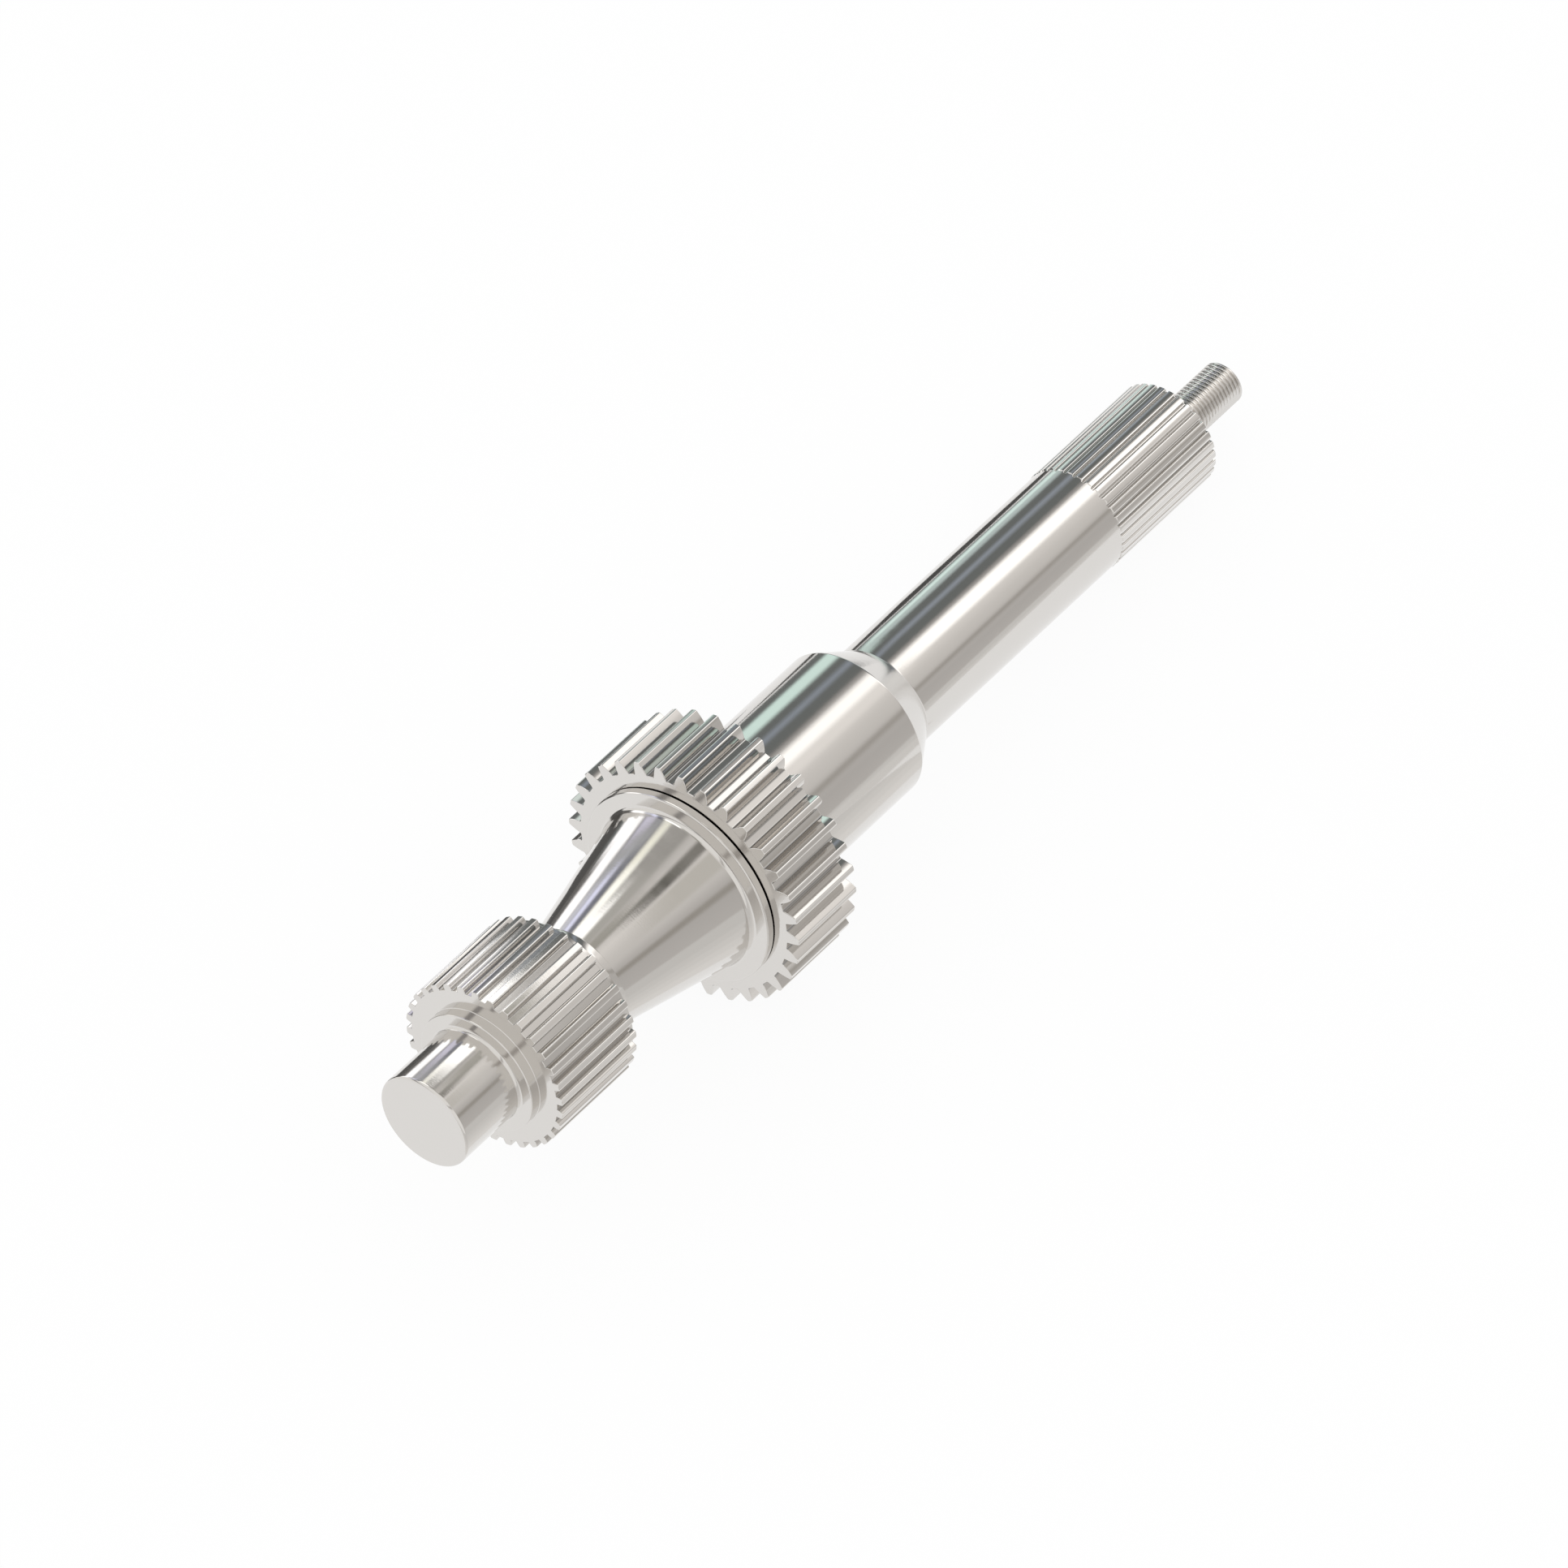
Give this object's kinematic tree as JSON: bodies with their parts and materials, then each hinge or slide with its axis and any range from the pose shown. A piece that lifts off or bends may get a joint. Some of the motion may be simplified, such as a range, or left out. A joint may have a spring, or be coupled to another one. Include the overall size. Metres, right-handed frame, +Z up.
{
  "type": "drive shaft",
  "caption": "Turned steel transmission shaft with an integral pinion, a pressed-on main gear, a long journal, a rear spline and a threaded stud.",
  "frame": {"origin": "centre of the flat end face of the pilot journal, on the shaft's axis", "axes": "+X along the shaft's axis towards the threaded stud, +Z up, with a gap between two main gear teeth facing straight down"},
  "size_m": [0.38, 0.083, 0.083],
  "materials": {
    "shaft_steel": "ground and polished steel",
    "gear_steel": "ground steel with fine machining grain"
  },
  "bodies": {
    "root": {"shaft": "shaft_steel", "main_gear": "gear_steel"}
  },
  "joints": []
}
